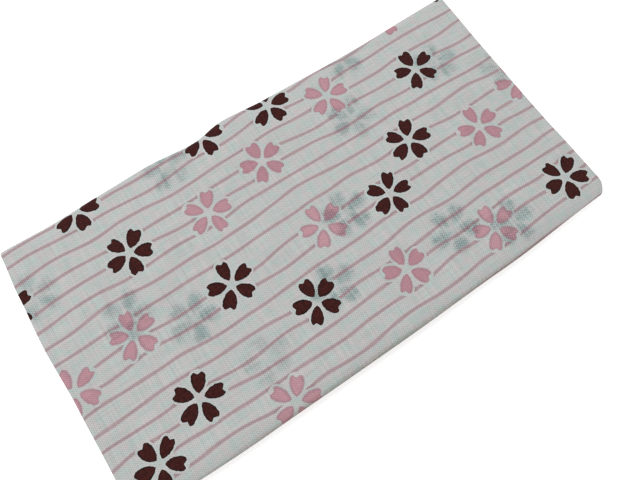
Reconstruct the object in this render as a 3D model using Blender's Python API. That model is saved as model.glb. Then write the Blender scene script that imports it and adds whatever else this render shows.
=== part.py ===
"""A thin cotton towel folded flat into a small oblong pad.

The cloth is 350 mm wide and 900 mm long. It is folded in half along its length and in half
again, which leaves four plies 225 mm long, and that bundle is then folded in three across its
width: the middle panel lies between the top panel and the bottom panel. Each solid layer here
stands for two plies that are pressed together, so a bundle is one layer folded back on itself.

The origin is the middle of the underside, +X runs along the pad and +Z is up.
"""

import math

import bpy

# Sizes of the pad, in metres.
PAD_LENGTH = 0.2250
PAD_WIDTH = 0.1180
LAYER = 0.0010
GAP = 0.00036

# The bundle is one layer folded back on itself at its +X end.
BUNDLE = 2 * LAYER + GAP
PAD_HEIGHT = 3 * BUNDLE + 2 * GAP

# The tight fold is at the far edge, +Y, and joins the top panel to the middle one. The full
# fold is at the near edge, -Y, and joins the top panel to the bottom one round the middle one.
TIGHT_RADIUS = (BUNDLE + GAP) / 2
FULL_HEIGHT = BUNDLE + GAP
FULL_DEPTH = 0.0052

# The selvedges stop short of the folds that they are tucked against.
MIDDLE_TUCK = 0.0070
BOTTOM_TUCK = 0.0020

# The raw ends of the lower layer stop a little inside the pressed fold of the upper one.
RAW_END_INSET = 0.0012
FOLD_NOSE = 0.0004

# How many straight steps each stretch is drawn with.
LENGTH_STEPS = 16
END_FOLD_STEPS = 5
PANEL_STEPS = 7
TIGHT_STEPS = 5
FULL_STEPS = 8

# The outline's bulges and hollows. Each row gives the share of the way along that edge and how
# far the edge stands out there from a straight line. The two ends are read from the far edge to
# the near one, and the two long edges from the pressed end to the looped one.
PRESSED_END_OUTLINE = (
    (0.00, -0.0006),
    (0.18, 0.0004),
    (0.36, 0.0010),
    (0.60, -0.0001),
    (0.85, -0.0005),
    (1.00, 0.0006),
)
LOOPED_END_OUTLINE = (
    (0.00, 0.0003),
    (0.30, -0.0003),
    (0.60, -0.0005),
    (0.85, 0.0001),
    (1.00, 0.0002),
)
FAR_EDGE_OUTLINE = (
    (0.00, 0.0006),
    (0.10, 0.0000),
    (0.20, 0.0005),
    (0.30, 0.0008),
    (0.40, -0.0009),
    (0.47, 0.0013),
    (0.56, 0.0001),
    (0.76, -0.0009),
    (1.00, -0.0003),
)
NEAR_EDGE_OUTLINE = (
    (0.00, -0.0005),
    (0.25, 0.0010),
    (0.50, 0.0015),
    (0.75, 0.0012),
    (1.00, -0.0005),
)

# Soft rises and dips of the pressed stack. Each row gives the middle as shares of the length and
# of the width, the reach along each, and how much thicker the stack stands there.
SWELLS = (
    (0.46, 0.98, 0.12, 0.22, 0.10),
    (0.28, 1.00, 0.08, 0.20, 0.05),
    (0.78, 0.80, 0.16, 0.30, -0.04),
    (0.10, 0.30, 0.14, 0.35, -0.04),
    (0.62, 0.30, 0.22, 0.30, 0.03),
    (0.95, 0.35, 0.09, 0.40, -0.05),
)

# Greyish white cotton.
CLOTH_COLOUR = (0.52, 0.57, 0.55, 1.0)
CLOTH_ROUGHNESS = 0.9


def clear_scene():
    for obj in list(bpy.data.objects):
        bpy.data.objects.remove(obj, do_unlink=True)


def smooth(t):
    t = min(max(t, 0.0), 1.0)
    return t * t * (3 - 2 * t)


def read_outline(outline, share):
    """The edge's offset at a share of the way along it, eased from one point to the next."""
    for (s0, out0), (s1, out1) in zip(outline, outline[1:]):
        if share <= s1:
            return out0 + (out1 - out0) * smooth((share - s0) / (s1 - s0))
    return outline[-1][1]


def half_turn(steps):
    """Angles through a half turn, ends left out."""
    return [math.pi * i / steps for i in range(1, steps)]


def bundle_section():
    """The folded layer seen from the side: pairs of points on its outer and inner faces.

    x runs along the pad and h is the height from the bundle's middle. The upper half starts at
    the pressed fold at -X, turns round the loop at +X and runs back to the raw ends.
    """
    end = PAD_LENGTH / 2
    outer = BUNDLE / 2
    inner = GAP / 2
    turn = end - outer
    pairs = []
    for i in range(LENGTH_STEPS + 1):
        x = -end + FOLD_NOSE + (turn + end - FOLD_NOSE) * i / LENGTH_STEPS
        pairs.append(((x, outer), (x, inner)))
    for angle in half_turn(END_FOLD_STEPS):
        across, up = math.sin(angle), math.cos(angle)
        pairs.append(
            (
                (turn + outer * across, outer * up),
                (turn + inner * across, inner * up),
            )
        )
    start = -end + RAW_END_INSET
    for i in range(LENGTH_STEPS + 1):
        x = turn + (start - turn) * i / LENGTH_STEPS
        pairs.append(((x, -outer), (x, -inner)))
    return pairs


def section_loop():
    """The same section as one closed outline, with a soft nose on the pressed fold."""
    pairs = bundle_section()
    nose = (-PAD_LENGTH / 2, (BUNDLE + GAP) / 4)
    outer = [pair[0] for pair in pairs]
    inner = [pair[1] for pair in reversed(pairs)]
    return [nose] + outer + inner


def panel_path():
    """The bundle's middle line across the pad: points (y, z) with the outward normal (y, z).

    It starts at the middle panel's selvedge, goes round the tight fold to the top panel, round
    the full fold to the bottom panel, and ends at the bottom panel's selvedge.
    """
    half = PAD_WIDTH / 2
    bottom_z = BUNDLE / 2
    middle_z = bottom_z + BUNDLE + GAP
    top_z = middle_z + BUNDLE + GAP
    far_y = half - BUNDLE / 2 - TIGHT_RADIUS
    near_y = -half + BUNDLE / 2 + FULL_DEPTH
    path = []

    def run(y0, y1, z, up):
        for i in range(PANEL_STEPS + 1):
            path.append((y0 + (y1 - y0) * i / PANEL_STEPS, z, 0.0, up))

    run(-half + MIDDLE_TUCK, far_y, middle_z, -1.0)
    for angle in half_turn(TIGHT_STEPS):
        out, up = math.sin(angle), -math.cos(angle)
        middle = (middle_z + top_z) / 2
        path.append((far_y + TIGHT_RADIUS * out, middle + TIGHT_RADIUS * up, out, up))
    run(far_y, near_y, top_z, 1.0)
    for angle in half_turn(FULL_STEPS):
        # Equal turns of the normal round an ellipse, so that the sharp end is drawn as finely.
        out, up = math.sin(angle), math.cos(angle)
        reach = math.hypot(FULL_DEPTH * out, FULL_HEIGHT * up)
        y = near_y - FULL_DEPTH**2 * out / reach
        z = (top_z + bottom_z) / 2 + FULL_HEIGHT**2 * up / reach
        path.append((y, z, -out, up))
    run(near_y, half - BOTTOM_TUCK, bottom_z, -1.0)
    return path


def settle(x, y, z):
    """Moves a point of the straight pad to where it lies in the uneven one."""
    along = x / PAD_LENGTH + 0.5
    across = y / PAD_WIDTH + 0.5
    from_far = 1 - across
    dx = smooth(2 * along - 1) * read_outline(LOOPED_END_OUTLINE, from_far)
    dx -= smooth(1 - 2 * along) * read_outline(PRESSED_END_OUTLINE, from_far)
    dy = smooth(2 * across - 1) * read_outline(FAR_EDGE_OUTLINE, along)
    dy -= smooth(1 - 2 * across) * read_outline(NEAR_EDGE_OUTLINE, along)
    thicker = 0.0
    for centre_x, centre_y, reach_x, reach_y, amount in SWELLS:
        away = ((along - centre_x) / reach_x) ** 2 + ((across - centre_y) / reach_y) ** 2
        thicker += amount * math.exp(-away)
    return (x + dx, y + dy, z * (1 + thicker))


def towel_mesh():
    """The section swept along the path, closed at both selvedges."""
    loop = section_loop()
    path = panel_path()
    ring = len(loop)
    points = []
    for y, z, out, up in path:
        for x, h in loop:
            points.append(settle(x, y + h * out, z + h * up))
    low = [min(p[k] for p in points) for k in range(3)]
    high = [max(p[k] for p in points) for k in range(3)]
    shift = ((low[0] + high[0]) / 2, (low[1] + high[1]) / 2, low[2])
    points = [tuple(p[k] - shift[k] for k in range(3)) for p in points]

    faces = []
    for row in range(len(path) - 1):
        for i in range(ring):
            a = row * ring + i
            b = row * ring + (i + 1) % ring
            faces.append((a, a + ring, b + ring, b))
    last = (len(path) - 1) * ring
    strips = (ring - 1) // 2
    for i in range(strips - 1):
        near = (1 + i, 2 + i, ring - 2 - i, ring - 1 - i)
        faces.append(near)
        faces.append(tuple(last + k for k in reversed(near)))
    faces.append((0, 1, ring - 1))
    faces.append((last, last + ring - 1, last + 1))
    mesh = bpy.data.meshes.new("folded_towel")
    mesh.from_pydata(points, [], faces)
    mesh.update()
    return mesh


def cotton():
    material = bpy.data.materials.new("printed_cotton")
    material.use_nodes = True
    shader = material.node_tree.nodes["Principled BSDF"]
    shader.inputs["Base Color"].default_value = CLOTH_COLOUR
    shader.inputs["Roughness"].default_value = CLOTH_ROUGHNESS
    shader.inputs["Metallic"].default_value = 0.0
    return material


def build():
    clear_scene()
    mesh = towel_mesh()
    mesh.materials.append(cotton())
    mesh.shade_smooth()
    mesh.set_sharp_from_angle(angle=math.radians(50))
    towel = bpy.data.objects.new("folded_towel", mesh)
    bpy.context.scene.collection.objects.link(towel)


build()
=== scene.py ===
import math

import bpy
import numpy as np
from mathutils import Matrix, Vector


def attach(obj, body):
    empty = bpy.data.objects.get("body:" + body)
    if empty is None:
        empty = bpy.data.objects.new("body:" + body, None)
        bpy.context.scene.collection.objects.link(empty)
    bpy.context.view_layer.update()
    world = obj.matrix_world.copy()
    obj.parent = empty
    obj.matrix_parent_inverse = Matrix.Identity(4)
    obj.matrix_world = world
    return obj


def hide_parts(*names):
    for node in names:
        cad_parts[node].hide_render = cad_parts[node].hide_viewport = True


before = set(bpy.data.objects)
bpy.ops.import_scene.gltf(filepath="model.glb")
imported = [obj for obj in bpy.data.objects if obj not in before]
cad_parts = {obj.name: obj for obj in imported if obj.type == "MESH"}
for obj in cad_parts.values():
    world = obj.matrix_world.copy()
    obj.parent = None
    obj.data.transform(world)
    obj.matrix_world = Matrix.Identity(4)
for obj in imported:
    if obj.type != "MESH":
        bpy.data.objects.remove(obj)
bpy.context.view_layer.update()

# A thin printed cotton towel, pressed and folded into an oblong pad. The cloth is 350 mm wide and
# 900 mm long. It is folded in half along its length and in half again, and the four plies are then
# folded in three across the width. The pad lies on its bottom panel, +X runs along it and +Z is up.
# Sizes are in millimetres, and the mesh is turned into metres when it is made.

MM = 0.001

# The folded pad. A bundle is the four plies, one on another.
PAD_LENGTH = 225.0
PAD_WIDTH = 118.0
BUNDLE = 2.36
GAP = 0.36
PAD_HEIGHT = 3 * BUNDLE + 2 * GAP
END = PAD_LENGTH / 2
PLY = 0.36

# Heights of the plies' middles over the bundle's own middle. The face ply is outermost. The
# pressed crease joins it to the second ply at -X, and the loop at +X joins it to the inner ply.
FACE_PLY = 1.0
SECOND_PLY = 1 / 3
THIRD_PLY = -1 / 3
INNER_PLY = -1.0
LOOP_RADIUS = FACE_PLY
CREASE_RADIUS = (FACE_PLY - SECOND_PLY) / 2
TUCKED_RADIUS = SECOND_PLY
TUCKED_BACK = 0.45
INNER_CUT_INSET = 1.7
THIRD_CUT_INSET = 1.1

# The tight fold is at the far edge, +Y. The full fold is at the near edge, -Y.
TIGHT_RADIUS = (BUNDLE + GAP) / 2
FULL_HEIGHT = BUNDLE + GAP
FULL_DEPTH = 5.2
MIDDLE_TUCK = 7.0
BOTTOM_TUCK = 2.0

# The outline's bulges and hollows: share of the way along that edge, and how far it stands out.
# The ends are read from the far edge to the near one, the long edges from -X to +X.
PRESSED_END_OUTLINE = (
    (0.00, -0.6), (0.18, 0.4), (0.36, 1.0), (0.60, -0.1), (0.85, -0.5), (1.00, 0.6),
)
LOOPED_END_OUTLINE = (
    (0.00, 0.3), (0.30, -0.3), (0.60, -0.5), (0.85, 0.1), (1.00, 0.2),
)
FAR_EDGE_OUTLINE = (
    (0.00, 0.6), (0.10, 0.0), (0.20, 0.5), (0.30, 0.8), (0.40, -0.9),
    (0.47, 1.3), (0.56, 0.1), (0.76, -0.9), (1.00, -0.3),
)
NEAR_EDGE_OUTLINE = (
    (0.00, -0.5), (0.25, 1.0), (0.50, 1.5), (0.75, 1.2), (1.00, -0.5),
)

# Soft rises and dips of the pressed stack: the middle as shares of the length and of the width,
# the reach along each, and how much thicker the stack stands there.
SWELLS = (
    (0.46, 0.98, 0.12, 0.22, 0.10),
    (0.28, 1.00, 0.08, 0.20, 0.05),
    (0.78, 0.80, 0.16, 0.30, -0.04),
    (0.10, 0.30, 0.14, 0.35, -0.04),
    (0.62, 0.30, 0.22, 0.30, 0.03),
    (0.95, 0.35, 0.09, 0.40, -0.05),
)

# Soft creases left in the top: from x, y to x, y, half the width, and the height, which is
# negative for a trough.
CREASES = (
    (1.0, 62.0, -3.0, 30.0, 3.0, -0.25),
    (-9.0, 62.0, -14.0, 34.0, 5.0, 0.22),
    (-57.0, 60.0, -50.0, -30.0, 6.0, 0.10),
    (-2.0, 10.0, 3.0, -56.0, 5.0, -0.10),
    (-113.0, 22.0, -60.0, 30.0, 7.0, 0.10),
    (30.0, -40.0, 96.0, -30.0, 6.0, -0.12),
)
# The length over which a crease rises or dies away at each of its ends.
CREASE_EASE = 12.0

# How far the looped end's near corner is pressed in, how far in from the near edge that reaches,
# where along the pad it starts, and over what length it grows.
CORNER_PRESS = 1.6
CORNER_REACH = 6.0
CORNER_START = 85.0
CORNER_LENGTH = 27.0

# A soft unevenness is the sum of waves that run in different directions, each longer than the last.
RIPPLE_WAVES = 5
RIPPLE_TURN = 2.4
RIPPLE_LENGTH = 1.5
RIPPLE_GROWTH = 0.45
RIPPLE_SHIFT = 1.7
RIPPLE_PEAK = 2.6

# How unevenly the cloth lies: how far it strays, in rises about how wide, and where they start.
TOP_WAVES = ((0.06, 19.0, 0.6), (0.04, 9.0, 2.1))
CLOTH_DRIFT = (0.06, 24.0, 0.9)
LOWER_STRAY = (0.5, 42.0, 1.3)
INNER_CUT_STRAY = (0.45, 26.0, 0.7)
THIRD_CUT_STRAY = (0.45, 22.0, 1.9)
MIDDLE_STRAY = (0.35, 48.0, 0.4)
BOTTOM_STRAY = (0.4, 61.0, 1.1)
# The lower panels are pulled back at both ends of the pad. The plies step back at the selvedges.
PULL_BACK = 0.35
PULL_START = 60.0
PULL_REACH = 52.0
CUT_REACH = 30.0
SELVEDGE_REACH = 25.0
MIDDLE_PLY_STEP = 0.25
BOTTOM_PLY_STEP = 0.3

# How finely the cloth is drawn along its length and across it.
FACE_STEP = 2.0
HIDDEN_STEP = 4.0
TOP_STEP = 2.0
PANEL_STEP = 4.0
LOOP_STEPS = 10
CREASE_STEPS = 6
TUCKED_STEPS = 5
TIGHT_STEPS = 12
FULL_STEPS = 18
SHARPEST_SMOOTHED = 60.0

# Blossoms printed on the top: x, y, and the direction of one petal in degrees.
MAROON_BLOSSOMS = (
    (-78.2, 58.0, -83), (-67.8, 29.7, -94), (-117.8, 35.0, 14), (-18.1, 57.8, -82),
    (14.0, 54.6, 0), (-40.1, -4.5, 90), (-15.6, -28.7, 95), (-72.5, -34.5, -80),
    (-95.7, -46.2, -104), (79.5, 33.5, 93), (55.8, 7.1, -80), (34.7, -8.5, -79),
    (100.7, -43.8, -102), (111.5, 66.4, -90),
)
PINK_BLOSSOMS = (
    (-32.5, 26.5, -78), (-2.0, 33.5, 93), (38.6, 44.4, -78), (85.6, -5.0, 90),
    (3.9, -4.2, 97), (21.3, -38.2, 87), (62.0, -44.4, 88), (-81.8, -0.2, 87),
    (-110.2, -6.6, 100), (-43.0, -55.9, -90), (113.5, 3.7, 90), (82.0, 63.8, -85),
)

# Maroon blossoms of the second ply, which show through the top: x, y, turn, and how strongly.
BLOSSOMS_BENEATH = (
    (-80.5, 7.5, -90, 0.9), (-59.5, -7.5, -90, 1.0), (-37.5, 53.8, 90, 0.9),
    (41.3, 29.3, -90, 1.0), (54.0, 57.0, 90, 0.9), (89.5, 31.5, 0, 0.8),
    (14.7, -5.4, 88, 1.15), (-6.8, -28.0, 90, 1.0), (47.5, -35.3, -100, 1.15),
    (69.5, -46.8, 0, 1.0), (-43.5, -37.0, 90, 0.45), (112.5, 13.0, 160, 0.6),
)
# The numbers that stand for the two dyes, how strongly a blossom shows through that isn't charted
# above, how far a blossom and its ring reach, how near another may lie, and the repeat along.
MAROON, PINK = 1.0, 2.0
USUAL_SHOW_THROUGH = 0.6
BLOSSOM_REACH = 14.5
LEAST_APART = 24.0
REPEAT_ALONG = 225.0
# The part of the cloth that shows on the top, or through it, has only the charted blossoms.
CHARTED_ACROSS = 72.0
CHARTED_ALONG = (-350.0, 125.0)
# Blossoms of the second ply are numbered from here, so that their petals differ from the others.
BENEATH_NUMBERS = 100

# The stripes run along the cloth, drawn freehand: y of each on the top, from the far edge to the
# near one. They fan out a little, so the last one leaves the near fold only towards +X. The fan
# starts at LINE_FAN_START across, and LINE_FAN is its rise for each mm along and each mm past that.
LINE_PLACES = (
    56, 49.5, 42, 34.5, 27.5, 20.5, 13.5, 6, -3, -9.5, -17, -24.5, -31.5, -38, -45, -52.5, -60.3,
)
LINE_FAN_START = 20.0
LINE_FAN = 0.00026
# How far the stripes stray, in rises about how wide, and where they start: neighbours drift
# together, and each wavers and trembles alone. The last two values keep their wavers apart.
LINE_DRIFT = (1.1, 58.0, 1.2)
LINE_WAVER = (0.85, 21.0, 0.5)
LINE_TREMOR = (0.13, 7.0, 2.3)
LINE_UNLIKE = 61.0
REPEAT_UNLIKE = 17.0
# The stripes of the far half jog where the cloth was rucked.
JOG_HEIGHT = 1.1
JOG_ALONG = 4.0
JOG_REACH = 9.0
# The farthest stripe runs off over the tight fold: past this far along, and its rise for each mm.
RUN_OFF_START = 55.0
RUN_OFF_RISE = 0.045
REPEAT_ACROSS = 123.0

# A petal: how far its foot and its tip lie from the blossom's middle, its full width, and the
# share of its length at which it is widest. Its opening and its closing are each bent by two
# powers. A notch is cut into the tip, off its middle by up to half the stray. The stripes keep
# clear of a bare ring of the same form.
PETAL_FOOT = 1.9
PETAL_TIP = 10.0
PETAL_WIDTH = 5.6
PETAL_WIDEST = 0.65
OPENING_POWERS = (2, 0.72)
CLOSING_POWERS = (3, 0.45)
NOTCH_DEPTH = 1.2
NOTCH_MOUTH = 4.0
NOTCH_STRAY = 0.9
RING_FOOT = -0.5
RING_TIP = 11.0
RING_WIDTH = 7.4
PINK_SMALLER = 0.05
FIFTH = 2 * math.pi / 5
# The form is held as a curve of half widths, from a little below zero upwards.
FORM_REACH = 12.0
FORM_STEP = 0.5
FORM_LOWEST = 1.0
FORM_SPAN = 5.0
# How much the petals lean, in radians, and the shares of the usual reach and width they have.
LEAN_SPREAD = 0.10
REACH_LEAST, REACH_SPREAD = 0.98, 0.07
SWELL_LEAST, SWELL_SPREAD = 0.90, 0.16

# Finishes, as sRGB.
BARE_COTTON = "#BFC5C3"
BARE_PALER = "#C6CAC8"
COOL_FLECK = "#B5CBC5"
WARM_FLECK = "#D6C5C7"
RESIST_WHITE = "#D3D5D3"
MAROON_DYE = "#371514"
MAROON_WORN = "#4C1F1A"
MAROON_EDGE = "#1D0D0F"
PINK_DYE = "#C89AA2"
PINK_DEEP = "#B07F8B"
PINK_EDGE = "#AE8A94"
PINK_OVER_PRINT = "#967680"
LINE_DYE = "#A99195"
LINE_PALE = "#B9A6A8"
LINE_END = "#A28C8F"
LINE_BLEED = "#CFC6C7"
LINE_OVER_PRINT = "#957F86"
PRINT_BENEATH = "#8DA19F"
# Painted shade: the near fold greys where it turns away from the light, and a darker brown-grey
# painted shadow lies along its rim.
NEAR_FOLD_SHADE_TINT = "#CEC8C0"
FOLD_RIM_SHADOW_TINT = "#A79E95"
PAPER_WHITE = "#FFFFFF"

# The weave has about 16 threads to the centimetre along the cloth and 22 across it. A yarn keeps
# its thickness over a slub's run. Threads and slubs lighten, darken and roughen the cloth.
THREAD_ALONG = 0.61
THREAD_ACROSS = 0.46
SLUB_RUN = 14.0
CROSSING_SHARE = 0.5
WEAVE_RANGE = 0.6
WEAVE_CONTRAST = 0.19
BUMP_STRENGTH = 0.5
BUMP_HEIGHT = 0.06
ROUGHNESS = (0.95, 0.86)

# The mottling of yarn and dye: how fine it is, for each mm, and how much detail it has.
FUZZ = (0.9, 3.0)
STROKES = (0.11, 2.0)
PATCHES = (0.16, 1.0)
CLOUDS = (0.05, 2.0)
FLECKS = (0.28, 1.5)
SLUBS = (1.0, 1.0)
# The part of the mottling's own range, 0 to 1, over which each of them changes.
STROKES_RANGE = (0.35, 0.65)
PATCHES_RANGE = (0.35, 0.6)
CLOUDS_RANGE = (0.3, 0.7)
FLECKS_RANGE = (0.35, 0.65)
WORN_RANGE = (0.4, 0.68)
FLECK_STRENGTH = 0.42
# How far the fuzz frays the edge of a petal, of a stripe and of the painted shade at the near
# fold's rim.
PETAL_FRAY, LINE_FRAY, RIM_FRAY = 0.8, 0.35, 1.5

# Edges of the blossoms, in mm from the edge and positive inside it. The pairs in the first three
# are for maroon and for pink: softness, how far in the rim reaches, and strength of the halo.
EDGE_SOFTNESS = (0.12, 0.48)
RIM_REACH = (0.85, 1.5)
HALO_STRENGTH = (0.36, 0.04)
RIM_START = 0.15
HALO_EDGE = (-0.95, -0.35)
RING_EDGE = (-0.1, 0.25)
PINK_VARIETY = 0.6

# Edges of the stripes, in mm from the stripe's middle. Their dye bleeds a little into the cloth,
# thins in some strokes, and pools where they end at a blossom's ring.
LINE_EDGE = (0.36, 0.96)
BLEED_EDGE = (0.7, 2.0)
BLEED_STRENGTH = 0.55
LINE_THINNING = 0.10
POOL_EDGE = (-1.3, -0.2)
POOL_STRENGTH = 0.8

# The print of the second ply: how softly its petals and the spread round them show through, how
# much that differs from patch to patch, and from the threads to the holes between them.
BENEATH_EDGE = (-2.2, 2.0)
SPREAD_EDGE = (-1.5, 1.2)
SPREAD_STRENGTH = 0.28
PATCH_STRENGTH = (0.5, 1.1)
HOLES_RANGE = 0.45
HOLE_STRENGTH = (1.5, 0.15)

# The near fold, darkened with painted shade: how far out its rim lies across the cloth, and how far
# from there the grey painted shade and the browner painted shadow reach, each from full to none.
NEAR_FOLD_RIM = 61.2
NEAR_FOLD_SHADE_REACH = (0.8, 3.6)
RIM_SHADOW_REACH = (0.4, 1.6)

# The cloth laid flat for baking: its margin, the gap between its two sides, the room that a
# hidden ply takes, the longest step that counts as part of a bend, and the strips for its edges.
MAP_MARGIN = 0.01
MAP_GAP = 2.0
HIDDEN_ROOM = 0.07
BEND_STEP = 1.0
EDGE_STRIP = (0.006, 0.002)

# The camera's place over the pad, where it looks, in degrees, and its lens and sensor. Nothing
# nearer than the last value, in metres, is seen.
CAMERA_PLACE = (-28.22, -49.17, 193.16)
CAMERA_DOWN = 75.25
CAMERA_HEADING = 34.241
CAMERA_ROLL = 0.341
CAMERA_LENS = 26.44
CAMERA_SENSOR = 36.0
CAMERA_NEAREST = 0.01

# The studio: a wide floor just under the cloth, a white room and one soft light. Its lengths are
# in metres and the light's power is in watts.
FLOOR_HALF = 3.0
FLOOR_DROP = 0.00002
FLOOR_ROUGHNESS = 0.9
FLOOR_GLOW = 0.45
ROOM_STRENGTH = 0.62
LIGHT_PLACE = (-0.10, 0.44, 0.70)
LIGHT_SIZE = 0.5
LIGHT_POWER = 2.42


def run(start, stop, step):
    """Even places from start to stop, about a step apart, both ends included."""
    return np.linspace(start, stop, max(2, round(abs(stop - start) / step) + 1))


def smooth(share):
    share = np.clip(share, 0, 1)
    return share * share * (3 - 2 * share)


def read_outline(outline, share):
    """The edge's offset at each share of the way along it, eased from row to row."""
    shares, offsets = np.array(outline).T
    row = np.clip(np.searchsorted(shares, share) - 1, 0, len(shares) - 2)
    step = smooth((share - shares[row]) / (shares[row + 1] - shares[row]))
    return offsets[row] + (offsets[row + 1] - offsets[row]) * step


def ripple(x, y, reach, start):
    """A soft unevenness between about -1 and 1, in rises about as wide as the reach."""
    total = 0.0
    for wave in range(RIPPLE_WAVES):
        angle = RIPPLE_TURN * wave + start
        length = reach * (RIPPLE_LENGTH + RIPPLE_GROWTH * wave)
        across = x * math.cos(angle) + y * math.sin(angle)
        shift = RIPPLE_SHIFT * wave * start + start
        total = total + np.sin(2 * math.pi * across / length + shift)
    return total / RIPPLE_PEAK


def strayed_by(stray, x, y):
    """How far something strays at a place, by a row of amount, reach and start."""
    amount, reach, start = stray
    return amount * ripple(x, y, reach, start)


def cloth_along():
    """The cloth from one cut end to the other, seen from the pad's side.

    Rows are x, the height in the bundle, and the direction walked in x and height. The walk goes
    along the inner ply, round the loop, back along the face ply, round the pressed crease, along
    the second ply, round the tucked fold and back along the third ply.
    """
    loop_x = END - BUNDLE / 2
    crease_x = -END + CREASE_RADIUS + PLY / 2
    tucked_x = loop_x - TUCKED_BACK
    inner = run(-END + INNER_CUT_INSET, loop_x, HIDDEN_STEP)
    rows = [(x, INNER_PLY, 1.0, 0.0) for x in inner]
    for angle in np.linspace(-math.pi / 2, math.pi / 2, LOOP_STEPS + 1)[1:-1]:
        out, up = math.cos(angle), math.sin(angle)
        rows.append((loop_x + LOOP_RADIUS * out, LOOP_RADIUS * up, -up, out))
    rows += [(x, FACE_PLY, -1.0, 0.0) for x in run(loop_x, crease_x, FACE_STEP)]
    for angle in np.linspace(math.pi / 2, 3 * math.pi / 2, CREASE_STEPS + 1)[1:-1]:
        out, up = math.cos(angle), math.sin(angle)
        height = (FACE_PLY + SECOND_PLY) / 2 + CREASE_RADIUS * up
        rows.append((crease_x + CREASE_RADIUS * out, height, -up, out))
    rows += [(x, SECOND_PLY, 1.0, 0.0) for x in run(crease_x, tucked_x, HIDDEN_STEP)]
    for angle in np.linspace(math.pi / 2, -math.pi / 2, TUCKED_STEPS + 1)[1:-1]:
        out, up = math.cos(angle), math.sin(angle)
        rows.append((tucked_x + TUCKED_RADIUS * out, TUCKED_RADIUS * up, up, -out))
    third = run(tucked_x, -END + THIRD_CUT_INSET, HIDDEN_STEP)
    rows += [(x, THIRD_PLY, -1.0, 0.0) for x in third]
    return np.array(rows)


def bundle_across():
    """The bundle's middle line across the pad, from the middle panel's selvedge to the bottom's.

    Rows are y, z, the outward normal in y and z, and how far it belongs to the top panel.
    """
    half = PAD_WIDTH / 2
    bottom_z = BUNDLE / 2
    middle_z = bottom_z + BUNDLE + GAP
    top_z = middle_z + BUNDLE + GAP
    far_y = half - BUNDLE / 2 - TIGHT_RADIUS
    near_y = -half + BUNDLE / 2 + FULL_DEPTH
    middle = run(-half + MIDDLE_TUCK, far_y, PANEL_STEP)
    rows = [(y, middle_z, 0.0, -1.0, 0.0) for y in middle]
    for angle in np.linspace(0, math.pi, TIGHT_STEPS + 1)[1:-1]:
        out, up = math.sin(angle), -math.cos(angle)
        z = (middle_z + top_z) / 2 + TIGHT_RADIUS * up
        rows.append((far_y + TIGHT_RADIUS * out, z, out, up, smooth(angle / 2)))
    rows += [(y, top_z, 0.0, 1.0, 1.0) for y in run(far_y, near_y, TOP_STEP)]
    for angle in np.linspace(0, math.pi, FULL_STEPS + 1)[1:-1]:
        out, up = math.sin(angle), math.cos(angle)
        reach = math.hypot(FULL_DEPTH * out, FULL_HEIGHT * up)
        y = near_y - FULL_DEPTH**2 * out / reach
        z = (top_z + bottom_z) / 2 + FULL_HEIGHT**2 * up / reach
        rows.append((y, z, -out, up, smooth(2 - angle)))
    bottom = run(near_y, half - BOTTOM_TUCK, PANEL_STEP)
    rows += [(y, bottom_z, 0.0, -1.0, 0.0) for y in bottom]
    return np.array(rows)


def settle(x, y, z):
    """Moves points of the straight pad to where they lie in the uneven one."""
    along = x / PAD_LENGTH + 0.5
    across = y / PAD_WIDTH + 0.5
    dx = smooth(2 * along - 1) * read_outline(LOOPED_END_OUTLINE, 1 - across)
    dx = dx - smooth(1 - 2 * along) * read_outline(PRESSED_END_OUTLINE, 1 - across)
    dy = smooth(2 * across - 1) * read_outline(FAR_EDGE_OUTLINE, along)
    dy = dy - smooth(1 - 2 * across) * read_outline(NEAR_EDGE_OUTLINE, along)
    thicker = 0.0
    for centre_x, centre_y, reach_x, reach_y, amount in SWELLS:
        away = ((along - centre_x) / reach_x) ** 2 + ((across - centre_y) / reach_y) ** 2
        thicker = thicker + amount * np.exp(-away)
    return x + dx, y + dy, z * (1 + thicker)


def top_relief(x, y):
    """How far the creases and the cloth's own small waves lift the top."""
    lift = sum(strayed_by(wave, x, y) for wave in TOP_WAVES)
    for x0, y0, x1, y1, half_width, height in CREASES:
        length = math.hypot(x1 - x0, y1 - y0)
        way_x, way_y = (x1 - x0) / length, (y1 - y0) / length
        along = (x - x0) * way_x + (y - y0) * way_y
        aside = (x - x0) * way_y - (y - y0) * way_x
        ends = smooth(along / CREASE_EASE) * smooth((length - along) / CREASE_EASE)
        lift = lift + height * ends * np.exp(-((aside / half_width) ** 2))
    return lift


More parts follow.
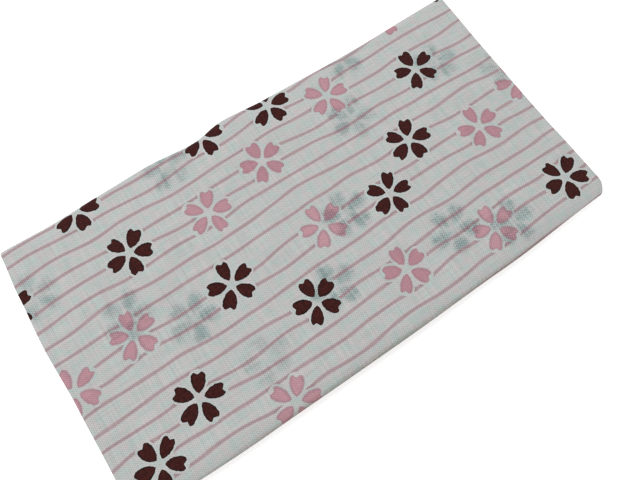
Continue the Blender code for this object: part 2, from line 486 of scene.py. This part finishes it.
def fold_cloth():
    """Lays the cloth out as a grid: rows go along its length, columns across its width.

    Gives the places of its face and its back, where the print lies at each crossing, which rows
    are the face ply, and the lengths walked and crossed. A place along the face ply and the place
    of the second ply beneath it add up to turn_back.
    """
    side, path = cloth_along(), bundle_across()
    x, height, walk_x, walk_up = (column[:, None] for column in side.T)
    y, z, out_y, out_z, on_top = (column[None, :] for column in path.T)
    line_y, line_z = y + height * out_y, z + height * out_z

    # Lengths along and across the cloth. Both are the pad's own x and y on the top's face ply.
    steps = np.hypot(np.diff(x, axis=0), np.diff(height, axis=0))
    walked = np.vstack([[[0.0]], np.cumsum(steps, axis=0)])
    face = (height[:, 0] == FACE_PLY) & (walk_x[:, 0] < 0)
    along = (walked[face][0] + x[face][0] - walked) * np.ones_like(line_y)
    steps = np.hypot(np.diff(line_y, axis=1), np.diff(line_z, axis=1))
    crossed = np.hstack([np.zeros((len(side), 1)), np.cumsum(steps, axis=1)])
    first = np.flatnonzero((on_top[0] == 1) & (out_z[0] == 1))[:1]
    across = crossed[:, first] + line_y[:, first] - crossed
    walk_y = np.gradient(line_y, axis=1) / np.maximum(np.gradient(crossed, axis=1), 1e-9)

    # The lower panels, the cut ends and the selvedges lie a little less evenly than the top.
    ends = smooth((np.abs(x) - PULL_START) / PULL_REACH) * np.sign(x)
    pulled = (1 - on_top) * ends * (strayed_by(LOWER_STRAY, across, 0) - PULL_BACK)
    near_inner_cut = smooth(1 - walked / CUT_REACH)
    near_third_cut = smooth(1 - (walked[-1] - walked) / CUT_REACH)
    pulled = pulled + near_inner_cut * strayed_by(INNER_CUT_STRAY, across, 0)
    pulled = pulled + near_third_cut * strayed_by(THIRD_CUT_STRAY, across, 0)
    by_middle = smooth(1 - np.abs(crossed - crossed[:, :1]) / SELVEDGE_REACH)
    by_bottom = smooth(1 - np.abs(crossed - crossed[:, -1:]) / SELVEDGE_REACH)
    middle_stray = strayed_by(MIDDLE_STRAY, along, 0) + MIDDLE_PLY_STEP * height
    bottom_stray = strayed_by(BOTTOM_STRAY, along, 0) - BOTTOM_PLY_STEP * height
    strayed = by_middle * middle_stray + by_bottom * bottom_stray
    drift = strayed_by(CLOTH_DRIFT, along, across)

    # The near corner of the looped end is pressed in a little.
    into_end = smooth((x - CORNER_START) / CORNER_LENGTH)
    into_edge = smooth((-line_y - PAD_WIDTH / 2 + CORNER_REACH) / CORNER_REACH)
    pulled = pulled - CORNER_PRESS * into_end * into_edge

    places = []
    for offset in (PLY / 2, -PLY / 2):
        stands = height - walk_x * offset + drift
        straight_x = x + walk_up * offset + pulled
        straight_y = y + stands * out_y + strayed
        at_x, at_y, at_z = settle(straight_x, straight_y, z + stands * out_z)
        lifted = at_z + top_relief(at_x, at_y) * at_z / PAD_HEIGHT
        places.append(np.stack([at_x, at_y, lifted], -1))
    low = np.min([p.min((0, 1)) for p in places], 0)
    high = np.max([p.max((0, 1)) for p in places], 0)
    shift = np.array([(low[0] + high[0]) / 2, (low[1] + high[1]) / 2, low[2]])
    places = [p - shift for p in places]

    # The print goes where the outline's bulges take it.
    lies_x, lies_y, _ = settle(x, line_y, line_z)
    print_along = along - walk_x * (lies_x - shift[0] - x)
    print_across = across - walk_y * (lies_y - shift[1] - line_y)
    second = (height[:, 0] == SECOND_PLY) & (walk_x[:, 0] > 0)
    turn_back = float((along[second, 0] + x[second, 0])[0])
    return {
        "places": places,
        "along": print_along,
        "across": print_across,
        "turn_back": turn_back,
        "face": face,
        "walked": walked[:, 0],
        "crossed": crossed[len(side) // 2],
    }


def all_blossoms(turn_back):
    """Every blossom on the cloth. Rows are its place along and across, turn, dye and show-through.

    The charted ones come first. The rest of the cloth repeats them, with the two dyes changed
    over in each next repeat, wherever there is room and none would show on the top.
    """
    found = [(x, y, turn, MAROON, USUAL_SHOW_THROUGH) for x, y, turn in MAROON_BLOSSOMS]
    found += [(x, y, turn, PINK, 0.0) for x, y, turn in PINK_BLOSSOMS]
    charted = list(found)
    for x, y, turn, show in BLOSSOMS_BENEATH:
        found.append((turn_back - x, y, 180 - turn, MAROON, show))
    lowest, highest = CHARTED_ALONG
    for repeat_across in (-1, 1, 0):
        for repeat_along in (0, -1, 1, -2):
            changed = (repeat_across + repeat_along) % 2
            for along, across, turn, dye, _ in charted:
                along += repeat_along * REPEAT_ALONG
                across += repeat_across * REPEAT_ACROSS
                if abs(across) < CHARTED_ACROSS and lowest < along < highest:
                    continue
                if min(math.hypot(along - f[0], across - f[1]) for f in found) < LEAST_APART:
                    continue
                dye = MAROON + PINK - dye if changed else dye
                found.append((along, across, turn + 90 * changed, dye, USUAL_SHOW_THROUGH))
    return np.array(found)


def line_places(along):
    """Place across of each stripe, and of its repeats, at places along the cloth."""
    lines = []
    for repeat in (1, 0, -1):
        for number, place in enumerate(LINE_PLACES):
            own = LINE_UNLIKE * number + REPEAT_UNLIKE * repeat
            stray = strayed_by(LINE_DRIFT, along, place)
            stray = stray + strayed_by(LINE_WAVER, along, own)
            stray = stray + strayed_by(LINE_TREMOR, along, own)
            if place > 0:
                stray = stray + JOG_HEIGHT * np.exp(-(((along - JOG_ALONG) / JOG_REACH) ** 2))
            if number == 0:
                past = np.clip(along - RUN_OFF_START, 0.0, END - RUN_OFF_START)
                stray = stray + RUN_OFF_RISE * past
            fan = LINE_FAN * max(LINE_FAN_START - place, 0.0) * np.clip(along, -END, END)
            lines.append(place + repeat * REPEAT_ACROSS + stray + fan)
    return np.array(lines)


def nearest_blossom(flowers, along, across):
    """For each face, its nearest blossom, and each corner's place in that blossom's own frame."""
    middle_along, middle_across = along.mean(1), across.mean(1)
    away = np.hypot(
        middle_along[:, None] - flowers[None, :, 0], middle_across[:, None] - flowers[None, :, 1]
    )
    pick = away.argmin(1)
    near = away[np.arange(len(pick)), pick] < BLOSSOM_REACH
    chosen = flowers[pick]
    dx, dy = along - chosen[:, [0]], across - chosen[:, [1]]
    turn = np.radians(chosen[:, [2]])
    petal_x = dx * np.cos(turn) + dy * np.sin(turn)
    petal_y = dy * np.cos(turn) - dx * np.sin(turn)
    return pick, near, np.stack([petal_x, petal_y], -1)


def cloth_mesh():
    """The cloth as one closed mesh, with the print's places on its corners."""
    cloth = fold_cloth()
    rows, columns = cloth["along"].shape
    grid = np.arange(rows * columns).reshape(rows, columns)
    back = grid + rows * columns

    def corners(a, b, c, d):
        return np.stack([a.ravel(), b.ravel(), c.ravel(), d.ravel()], -1)

    faces = [
        corners(grid[:-1, :-1], grid[1:, :-1], grid[1:, 1:], grid[:-1, 1:]),
        corners(back[:-1, :-1], back[:-1, 1:], back[1:, 1:], back[1:, :-1]),
        corners(grid[0, :-1], grid[0, 1:], back[0, 1:], back[0, :-1]),
        corners(grid[-1, :-1], back[-1, :-1], back[-1, 1:], grid[-1, 1:]),
        corners(grid[:-1, 0], back[:-1, 0], back[1:, 0], grid[1:, 0]),
        corners(grid[:-1, -1], grid[1:, -1], back[1:, -1], back[:-1, -1]),
    ]
    counts = [len(f) for f in faces]
    faces = np.concatenate(faces)
    points = np.concatenate([p.reshape(-1, 3) for p in cloth["places"]]) * MM

    mesh = bpy.data.meshes.new("printed_towel")
    mesh.from_pydata(points.tolist(), [], faces.tolist())
    mesh.update()

    crossing = faces % (rows * columns)
    row, column = crossing // columns, crossing % columns
    along, across = cloth["along"][row, column], cloth["across"][row, column]
    flowers = all_blossoms(cloth["turn_back"])

    pick, near, petals = nearest_blossom(flowers, along, across)
    dye = np.where(near, flowers[pick, 3], 0.0)
    add_map(mesh, "blossom_mm", petals)
    add_number(mesh, "dye", dye)
    add_number(mesh, "blossom_number", pick)

    showing = flowers[(flowers[:, 3] == MAROON) & (flowers[:, 4] > 0)]
    pick, near, petals = nearest_blossom(showing, cloth["turn_back"] - along, across)
    on_face = cloth["face"][row].all(1)
    add_map(mesh, "blossom_beneath_mm", petals)
    add_number(mesh, "show_through", np.where(near & on_face, showing[pick, 4], 0.0))
    add_number(mesh, "beneath_number", pick + BENEATH_NUMBERS)

    lines = line_places(along.mean(1))
    line = np.abs(lines - across.mean(1)).argmin(0)
    places = np.stack([line_places(along[:, k])[line, np.arange(len(line))] for k in range(4)], -1)
    add_number(mesh, "from_line_mm", across - places)
    add_map(mesh, "threads_mm", np.stack([along, across], -1))
    add_map(mesh, "OFBake", unfolded(cloth, row, column, counts))
    mesh.shade_smooth()
    mesh.set_sharp_from_angle(angle=math.radians(SHARPEST_SMOOTHED))
    return mesh


def unfolded(cloth, row, column, counts):
    """Both sides of the cloth laid flat without overlaps. Plies that are hidden take less room."""
    shown, steps = cloth["face"], np.diff(cloth["walked"])
    in_full = shown[:-1] | shown[1:] | (np.abs(steps) < BEND_STEP)
    face_rows = np.concatenate([[0], np.cumsum(steps * np.where(in_full, 1.0, HIDDEN_ROOM))])
    back_rows = np.concatenate([[0], np.cumsum(steps * HIDDEN_ROOM)])
    height = face_rows[-1] + back_rows[-1] + MAP_GAP
    room = 1 - 2 * MAP_MARGIN
    face_v = MAP_MARGIN + room * face_rows / height
    back_v = MAP_MARGIN + room * (face_rows[-1] + MAP_GAP + back_rows) / height
    u = MAP_MARGIN + room * cloth["crossed"] / cloth["crossed"][-1]
    places = np.stack([u[column], face_v[row]], -1)
    starts = np.cumsum([0] + counts)
    _, back, first, last, left, right = (slice(a, b) for a, b in zip(starts, starts[1:]))
    places[back, :, 1] = back_v[row[back]]
    inner, outer = EDGE_STRIP
    places[first, :, 1] = (inner, inner, outer, outer)
    places[last, :, 1] = (1 - inner, 1 - outer, 1 - outer, 1 - inner)
    places[left, :, 0] = (inner, outer, outer, inner)
    places[right, :, 0] = (1 - inner, 1 - inner, 1 - outer, 1 - outer)
    return places


def add_map(mesh, name, places):
    made = mesh.uv_layers.new(name=name)
    made.uv.foreach_set("vector", np.ascontiguousarray(places, np.float32).ravel())


def add_number(mesh, name, values):
    """A number on each face, or on each corner of each face."""
    on_corners = np.ndim(values) == 2
    made = mesh.attributes.new(name, "FLOAT", "CORNER" if on_corners else "FACE")
    made.data.foreach_set("value", np.ascontiguousarray(values, np.float32).ravel())


def linear(colour):
    """An sRGB hex value as linear colour."""
    parts = [int(colour[i : i + 2], 16) / 255 for i in (1, 3, 5)]
    parts = [c / 12.92 if c <= 0.04045 else ((c + 0.055) / 1.055) ** 2.4 for c in parts]
    return (*parts, 1.0)


def add_node(tree, kind, inputs=(), **settings):
    """Adds a node with its settings. An input is a fixed value, or a node or output to link."""
    made = tree.nodes.new(kind)
    for name, value in settings.items():
        setattr(made, name, value)
    for socket, value in dict(inputs if isinstance(inputs, dict) else enumerate(inputs)).items():
        if isinstance(value, bpy.types.Node):
            value = value.outputs[0]
        if isinstance(value, bpy.types.NodeSocket):
            tree.links.new(value, made.inputs[socket])
        else:
            made.inputs[socket].default_value = value
    return made


def calculated(tree, operation, *inputs, **settings):
    return add_node(tree, "ShaderNodeMath", inputs, operation=operation, **settings)


def ranged(tree, *inputs, **settings):
    """A value brought from one range to another: value, from low and high, to low and high."""
    return add_node(tree, "ShaderNodeMapRange", inputs, **settings)


def eased(tree, *inputs):
    """The same, with the change soft at both ends of the range."""
    return ranged(tree, *inputs, interpolation_type="SMOOTHSTEP")


def clouded(tree, place, scale, detail):
    return add_node(tree, "ShaderNodeTexNoise", {"Vector": place, "Scale": scale, "Detail": detail})


def number_on(tree, name):
    """A number that the mesh holds under a name."""
    return add_node(tree, "ShaderNodeAttribute", attribute_name=name).outputs["Fac"]


def petal_form(foot, tip, width):
    """Rows of distance from the blossom's middle and half the petal's width there.

    A petal opens from a pointed foot to its widest and closes in a blunt tip. Below zero there
    is none.
    """
    opens, open_bend = OPENING_POWERS
    closes, close_bend = CLOSING_POWERS
    rows = []
    for out in run(0.0, FORM_REACH, FORM_STEP):
        share = (out - foot) / (tip - foot)
        if 0 < share < 1:
            opening = 1 - (1 - min(share / PETAL_WIDEST, 1.0)) ** opens
            closing = 1 - max((share - PETAL_WIDEST) / (1 - PETAL_WIDEST), 0.0) ** closes
            rows.append((out, width / 2 * opening**open_bend * closing**close_bend))
        else:
            rows.append((out, -min(max(foot - out, out - tip), FORM_LOWEST)))
    return rows


def half_width(tree, out, sizes):
    """Half the width that a form of these sizes has, at a distance from the blossom's middle."""
    share = calculated(tree, "MULTIPLY", out, 1 / FORM_REACH, use_clamp=True)
    width = add_node(tree, "ShaderNodeFloatCurve", {"Value": share})
    rows = [
        (distance / FORM_REACH, (half + FORM_LOWEST) / FORM_SPAN)
        for distance, half in petal_form(*sizes)
    ]
    curve = width.mapping.curves[0]
    curve.points[0].location, curve.points[1].location = rows[0], rows[-1]
    for row in rows[1:-1]:
        curve.points.new(*row)
    for point in curve.points:
        point.handle_type = "AUTO_CLAMPED"
    width.mapping.update()
    return calculated(tree, "MULTIPLY_ADD", width, FORM_SPAN, -FORM_LOWEST)


def petal_depth(tree, place, number):
    """How deep a place is inside a petal, and inside the bare ring round the blossom, in mm.

    Each petal leans, reaches and swells a little differently, as hand-cut stencils do.
    """
    parts = add_node(tree, "ShaderNodeSeparateXYZ", [place])
    away = add_node(tree, "ShaderNodeVectorMath", [place], operation="LENGTH").outputs[1]
    angle = calculated(tree, "ARCTAN2", parts.outputs[1], parts.outputs[0])
    turns = calculated(tree, "MULTIPLY_ADD", angle, 1 / FIFTH, 0.5)
    petal = calculated(tree, "FLOOR", turns)
    aside = calculated(tree, "FRACT", turns)
    aside = calculated(tree, "MULTIPLY_ADD", aside, FIFTH, -FIFTH / 2)
    which = add_node(tree, "ShaderNodeCombineXYZ", [petal, number, 0.0])
    chance = add_node(tree, "ShaderNodeTexWhiteNoise", [which], noise_dimensions="3D")
    chances = add_node(tree, "ShaderNodeSeparateColor", [chance.outputs["Color"]]).outputs
    lean = calculated(tree, "MULTIPLY_ADD", chances[0], LEAN_SPREAD, -LEAN_SPREAD / 2)
    reach = calculated(tree, "MULTIPLY_ADD", chances[1], REACH_SPREAD, REACH_LEAST)
    swell = calculated(tree, "MULTIPLY_ADD", chances[2], SWELL_SPREAD, SWELL_LEAST)
    aside = calculated(tree, "ADD", aside, lean)
    out = calculated(tree, "COSINE", aside)
    out = calculated(tree, "MULTIPLY", out, away)
    out = calculated(tree, "DIVIDE", out, reach)
    over = calculated(tree, "SINE", aside)
    over = calculated(tree, "MULTIPLY", over, away)
    notch_at = calculated(tree, "MULTIPLY_ADD", chances[2], NOTCH_STRAY, -NOTCH_STRAY / 2)
    from_notch = calculated(tree, "SUBTRACT", over, notch_at)
    from_notch = calculated(tree, "ABSOLUTE", from_notch)
    over = calculated(tree, "ABSOLUTE", over)
    over = calculated(tree, "DIVIDE", over, swell)

    width = half_width(tree, out, (PETAL_FOOT, PETAL_TIP, PETAL_WIDTH))
    in_petal = calculated(tree, "SUBTRACT", width, over)
    width = half_width(tree, out, (RING_FOOT, RING_TIP, RING_WIDTH))
    in_ring = calculated(tree, "SUBTRACT", width, over)
    slope = NOTCH_MOUTH / 2 / NOTCH_DEPTH
    notch_foot = (PETAL_TIP - NOTCH_DEPTH) * slope
    notch = calculated(tree, "MULTIPLY_ADD", out, -slope, notch_foot)
    notch = calculated(tree, "ADD", notch, from_notch)
    return calculated(tree, "MINIMUM", in_petal, notch), in_ring


def mixed(tree, share, first, second, blend="MIX"):
    """Mixes two colours, each a hex value or an output, by a share."""
    first, second = (linear(c) if isinstance(c, str) else c for c in (first, second))
    inputs = {0: share, 6: first, 7: second}
    return add_node(tree, "ShaderNodeMix", inputs, data_type="RGBA", blend_type=blend).outputs[2]


def woven(tree, threads, along, across):
    """The height of the weave: the threads' crossings, and yarn that is thicker in some runs."""
    weft = calculated(tree, "MULTIPLY", along, math.pi / THREAD_ALONG)
    weft = calculated(tree, "SINE", weft)
    warp = calculated(tree, "MULTIPLY", across, math.pi / THREAD_ACROSS)
    warp = calculated(tree, "SINE", warp)
    over_under = calculated(tree, "MULTIPLY", weft, warp)
    slubs = []
    for scale in ((1 / SLUB_RUN, 1 / THREAD_ACROSS, 1), (1 / THREAD_ALONG, 1 / SLUB_RUN, 1)):
        stretched = add_node(tree, "ShaderNodeMapping", {"Vector": threads, "Scale": scale})
        slubs.append(clouded(tree, stretched, *SLUBS))
    slub = calculated(tree, "ADD", *slubs)
    slub = calculated(tree, "ADD", slub, -1.0)
    return calculated(tree, "MULTIPLY_ADD", over_under, CROSSING_SHARE, slub)


def print_beneath(tree, threads, weave):
    """How strongly the second ply's print shows through, most of all between the threads."""
    beneath = add_node(tree, "ShaderNodeUVMap", uv_map="blossom_beneath_mm")
    number = number_on(tree, "beneath_number")
    show = number_on(tree, "show_through")
    shadow, shadow_ring = petal_depth(tree, beneath, number)
    spread = eased(tree, shadow_ring, *SPREAD_EDGE, 0.0, SPREAD_STRENGTH)
    shadow = eased(tree, shadow, *BENEATH_EDGE, 0.0, 1.0)
    shadow = calculated(tree, "MAXIMUM", shadow, spread)
    shadow = calculated(tree, "MULTIPLY", shadow, show)
    patches = clouded(tree, threads, *PATCHES)
    patches = ranged(tree, patches, *PATCHES_RANGE, *PATCH_STRENGTH)
    shadow = calculated(tree, "MULTIPLY", shadow, patches)
    holes = ranged(tree, weave, -HOLES_RANGE, HOLES_RANGE, *HOLE_STRENGTH)
    return calculated(tree, "MULTIPLY", shadow, holes)


def printed_cotton():
    """Plain-woven cotton, thin and a little open, printed with dye that soaks into the threads.

    To the eye it is matt and slightly fuzzy, with a fine grid of threads, uneven as spun yarn is,
    and the dark print of the ply beneath shows through it as a soft grey-green.
    """
    made = bpy.data.materials.new("printed_cotton")
    made.use_nodes = True
    tree = made.node_tree
    tree.nodes.clear()

    threads = add_node(tree, "ShaderNodeUVMap", uv_map="threads_mm")
    along, across, _ = add_node(tree, "ShaderNodeSeparateXYZ", [threads]).outputs
    weave = woven(tree, threads, along, across)
    fuzz = clouded(tree, threads, *FUZZ)
    edge_fuzz = calculated(tree, "ADD", fuzz, -0.5)

    # The blossoms: how far a place is inked, and how far it belongs to the rim or to the halo.
    blossom = number_on(tree, "blossom_number")
    place = add_node(tree, "ShaderNodeUVMap", uv_map="blossom_mm")
    dye = number_on(tree, "dye")
    petal, ring = petal_depth(tree, place, blossom)
    petal = calculated(tree, "MULTIPLY_ADD", edge_fuzz, PETAL_FRAY, petal)
    printed = calculated(tree, "GREATER_THAN", dye, MAROON / 2)
    is_pink = calculated(tree, "GREATER_THAN", dye, (MAROON + PINK) / 2)
    petal = calculated(tree, "MULTIPLY_ADD", is_pink, -PINK_SMALLER, petal)

    def by_dye(maroon, pink):
        return calculated(tree, "MULTIPLY_ADD", is_pink, pink - maroon, maroon)

    soft = by_dye(*EDGE_SOFTNESS)
    hard = calculated(tree, "MULTIPLY", soft, -1.0)
    inked = eased(tree, petal, hard, soft, 0.0, 1.0)
    inked = calculated(tree, "MULTIPLY", inked, printed)
    rim = eased(tree, petal, RIM_START, by_dye(*RIM_REACH), 1.0, 0.0)
    halo = eased(tree, petal, *HALO_EDGE, 0.0, 1.0)
    halo = calculated(tree, "MULTIPLY", halo, by_dye(*HALO_STRENGTH))
    halo = calculated(tree, "MULTIPLY", halo, printed)
    ringed = eased(tree, ring, *RING_EDGE, 1.0, 0.0)
    ringed = calculated(tree, "SUBTRACT", ringed, 1.0)
    open_cloth = calculated(tree, "MULTIPLY_ADD", ringed, printed, 1.0)

    # The stripes, which keep clear of the blossoms.
    from_line = number_on(tree, "from_line_mm")
    from_line = calculated(tree, "MULTIPLY_ADD", edge_fuzz, LINE_FRAY, from_line)
    from_line = calculated(tree, "ABSOLUTE", from_line)
    strokes = clouded(tree, threads, *STROKES)
    thin = ranged(tree, strokes, *STROKES_RANGE, LINE_THINNING, -LINE_THINNING)
    from_line = calculated(tree, "ADD", from_line, thin)
    lined = eased(tree, from_line, *LINE_EDGE, 1.0, 0.0)
    lined = calculated(tree, "MULTIPLY", lined, open_cloth)
    bled = eased(tree, from_line, *BLEED_EDGE, BLEED_STRENGTH, 0.0)
    bled = calculated(tree, "MULTIPLY", bled, open_cloth)
    pooled = eased(tree, ring, *POOL_EDGE, 0.0, POOL_STRENGTH)
    pooled = calculated(tree, "MULTIPLY", pooled, printed)
    shadow = print_beneath(tree, threads, weave).outputs[0]

    # Bare cotton, clouded a little, with faint warm and cool flecks.
    clouds = ranged(tree, clouded(tree, threads, *CLOUDS), *CLOUDS_RANGE, 0.0, 1.0)
    flecks = ranged(tree, clouded(tree, threads, *FLECKS), *FLECKS_RANGE, 0.0, 1.0)
    bare = mixed(tree, clouds.outputs[0], BARE_COTTON, BARE_PALER)
    flecked = mixed(tree, flecks.outputs[0], COOL_FLECK, WARM_FLECK)
    bare = mixed(tree, FLECK_STRENGTH, bare, flecked)
    bare = mixed(tree, bled.outputs[0], bare, LINE_BLEED)
    bare = mixed(tree, halo.outputs[0], bare, RESIST_WHITE)
    body = mixed(tree, shadow, bare, PRINT_BENEATH)

    stripe = mixed(tree, strokes, LINE_DYE, LINE_PALE)
    stripe = mixed(tree, pooled.outputs[0], stripe, LINE_END)
    stripe = mixed(tree, shadow, stripe, LINE_OVER_PRINT)
    body = mixed(tree, lined.outputs[0], body, stripe)

    worn = ranged(tree, fuzz, *WORN_RANGE, 0.0, 1.0)
    maroon = mixed(tree, worn.outputs[0], MAROON_DYE, MAROON_WORN)
    maroon = mixed(tree, rim.outputs[0], maroon, MAROON_EDGE)
    taken = add_node(tree, "ShaderNodeTexWhiteNoise", {"W": blossom}, noise_dimensions="1D")
    taken = calculated(tree, "MULTIPLY", taken, PINK_VARIETY)
    pink = mixed(tree, rim.outputs[0], PINK_DYE, PINK_EDGE)
    pink = mixed(tree, taken.outputs[0], pink, PINK_DEEP)
    pink = mixed(tree, shadow, pink, PINK_OVER_PRINT)
    inks = mixed(tree, is_pink.outputs[0], maroon, pink)
    body = mixed(tree, inked.outputs[0], body, inks)

    contrast = (1 - WEAVE_CONTRAST, 1 + WEAVE_CONTRAST)
    shade = ranged(tree, weave, -WEAVE_RANGE, WEAVE_RANGE, *contrast)
    shade = add_node(tree, "ShaderNodeCombineColor", [shade, shade, shade])
    colour = mixed(tree, 1.0, body, shade.outputs[0], "MULTIPLY")

    # Painted shade: the near fold greys towards its rim, and a browner painted shadow darkens the
    # rim.
    from_rim = calculated(tree, "MULTIPLY_ADD", edge_fuzz, RIM_FRAY, across)
    from_rim = calculated(tree, "ADD", from_rim, NEAR_FOLD_RIM)
    from_rim = calculated(tree, "ABSOLUTE", from_rim)
    painted_shade = eased(tree, from_rim, *NEAR_FOLD_SHADE_REACH, 1.0, 0.0)
    painted_rim_shadow = eased(tree, from_rim, *RIM_SHADOW_REACH, 1.0, 0.0)
    colour = mixed(tree, painted_shade.outputs[0], colour, NEAR_FOLD_SHADE_TINT, "MULTIPLY")
    colour = mixed(tree, painted_rim_shadow.outputs[0], colour, FOLD_RIM_SHADOW_TINT, "MULTIPLY")

    relief = {"Strength": BUMP_STRENGTH, "Distance": BUMP_HEIGHT * MM, "Height": weave}
    finish = {
        "Base Color": colour,
        "Roughness": ranged(tree, weave, -WEAVE_RANGE, WEAVE_RANGE, *ROUGHNESS),
        "Metallic": 0.0,
        "IOR": 1.5,
        "Normal": add_node(tree, "ShaderNodeBump", relief),
        "Specular IOR Level": 0.15,
        "Sheen Weight": 0.04,
        "Sheen Roughness": 0.6,
    }
    surface = add_node(tree, "ShaderNodeBsdfPrincipled", finish)
    add_node(tree, "ShaderNodeOutputMaterial", [surface])
    return made


def studio_paper():
    """Matt white paper, lit until it is nearly bare white."""
    made = bpy.data.materials.new("studio_paper")
    made.use_nodes = True
    tree = made.node_tree
    tree.nodes.clear()
    finish = {
        "Base Color": linear(PAPER_WHITE),
        "Roughness": FLOOR_ROUGHNESS,
        "Specular IOR Level": 0.0,
        "Emission Color": linear(PAPER_WHITE),
        "Emission Strength": FLOOR_GLOW,
    }
    surface = add_node(tree, "ShaderNodeBsdfPrincipled", finish)
    add_node(tree, "ShaderNodeOutputMaterial", [surface])
    return made


def place_towel():
    mesh = cloth_mesh()
    mesh.materials.append(printed_cotton())
    towel = bpy.data.objects.new("printed_towel", mesh)
    bpy.context.scene.collection.objects.link(towel)
    return towel


def place_floor():
    half = FLOOR_HALF
    corners = [(-half, -half, 0), (half, -half, 0), (half, half, 0), (-half, half, 0)]
    mesh = bpy.data.meshes.new("studio_floor")
    mesh.from_pydata(corners, [], [(0, 1, 2, 3)])
    mesh.materials.append(studio_paper())
    floor = bpy.data.objects.new("studio_floor", mesh)
    floor.location.z = -FLOOR_DROP
    bpy.context.scene.collection.objects.link(floor)
    return floor


def place_camera():
    down, heading, roll = (math.radians(v) for v in (CAMERA_DOWN, CAMERA_HEADING, CAMERA_ROLL))
    flat = math.cos(down)
    ahead = Vector((flat * math.sin(heading), flat * math.cos(heading), -math.sin(down)))
    level = Vector((math.cos(heading), -math.sin(heading), 0))
    level_up = level.cross(ahead)
    right = level * math.cos(roll) + level_up * math.sin(roll)
    up = right.cross(ahead)
    data = bpy.data.cameras.new("photo_camera")
    data.lens = CAMERA_LENS
    data.sensor_width = CAMERA_SENSOR
    data.clip_start = CAMERA_NEAREST
    camera = bpy.data.objects.new("photo_camera", data)
    turned = Matrix((right, up, -ahead)).transposed().to_4x4()
    camera.matrix_world = Matrix.Translation(Vector(CAMERA_PLACE) * MM) @ turned
    bpy.context.scene.collection.objects.link(camera)
    bpy.context.scene.camera = camera


def place_lights():
    """A white room, and one wide soft light over the far left."""
    world = bpy.data.worlds.new("white_room")
    world.use_nodes = True
    tree = world.node_tree
    tree.nodes.clear()
    room = add_node(tree, "ShaderNodeBackground", [linear(PAPER_WHITE), ROOM_STRENGTH])
    add_node(tree, "ShaderNodeOutputWorld", [room])
    bpy.context.scene.world = world
    data = bpy.data.lights.new("soft_light", "AREA")
    data.size = LIGHT_SIZE
    data.energy = LIGHT_POWER
    light = bpy.data.objects.new("soft_light", data)
    light.location = LIGHT_PLACE
    light.rotation_mode = "QUATERNION"
    light.rotation_quaternion = (-light.location).to_track_quat("-Z", "Y")
    bpy.context.scene.collection.objects.link(light)


towel = place_towel()
floor = place_floor()
place_camera()
place_lights()
bpy.context.scene.view_settings.view_transform = "Standard"

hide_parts("folded_towel")
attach(towel, "root")
